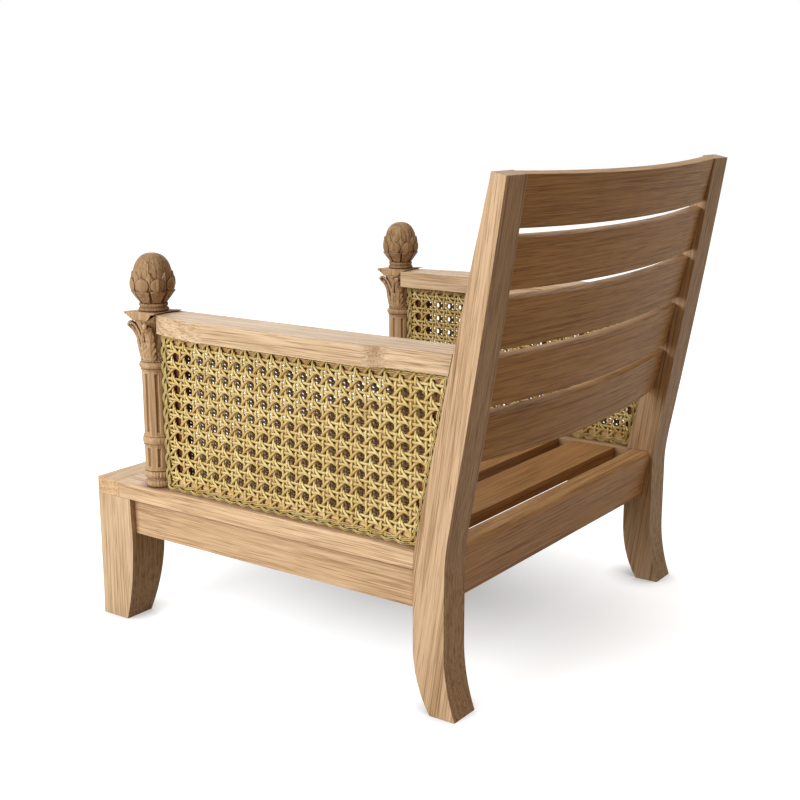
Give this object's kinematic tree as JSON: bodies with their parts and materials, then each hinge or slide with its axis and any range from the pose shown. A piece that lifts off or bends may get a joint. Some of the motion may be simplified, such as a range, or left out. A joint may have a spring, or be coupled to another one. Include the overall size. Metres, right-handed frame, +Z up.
{
  "type": "low lounge armchair",
  "caption": "Low teak lounge armchair with a slatted seat, reclined bowed back slats, caned side panels and turned, carved front columns with bud finials.",
  "frame": {"origin": "on the floor, below the middle of the chair's overall box", "axes": "+X to the sitter's left, +Y to the rear of the chair, +Z up"},
  "size_m": [0.794, 0.8396, 0.7975],
  "materials": {
    "timber": "untreated sanded teak",
    "carving": "turned and carved teak",
    "cane": "woven rattan cane, satin",
    "edging": "plaited rattan cane, satin"
  },
  "bodies": {
    "root": {"front_leg_left": "timber", "front_leg_right": "timber", "back_leg_left": "timber", "back_leg_right": "timber", "front_deck_rail": "timber", "side_deck_rail_left": "timber", "side_deck_rail_right": "timber", "front_apron": "timber", "side_apron_left": "timber", "side_apron_right": "timber", "rear_apron": "timber", "seat_slat_1": "timber", "seat_slat_2": "timber", "seat_slat_3": "timber", "seat_slat_4": "timber", "seat_slat_5": "timber", "back_slat_1": "timber", "back_slat_2": "timber", "back_slat_3": "timber", "back_slat_4": "timber", "back_slat_5": "timber", "arm_left": "timber", "arm_right": "timber", "column_left": "carving", "column_right": "carving", "finial_left": "carving", "finial_right": "carving", "panel_bottom_rail_left": "timber", "panel_bottom_rail_right": "timber", "panel_top_rail_left": "timber", "panel_top_rail_right": "timber", "panel_front_post_left": "timber", "panel_front_post_right": "timber", "panel_rear_post_left": "timber", "panel_rear_post_right": "timber", "cane_outer_left": "cane", "cane_outer_right": "cane", "cane_inner_left": "cane", "cane_inner_right": "cane", "edging_outer_left": "edging", "edging_outer_right": "edging", "edging_inner_left": "edging", "edging_inner_right": "edging"}
  },
  "joints": []
}
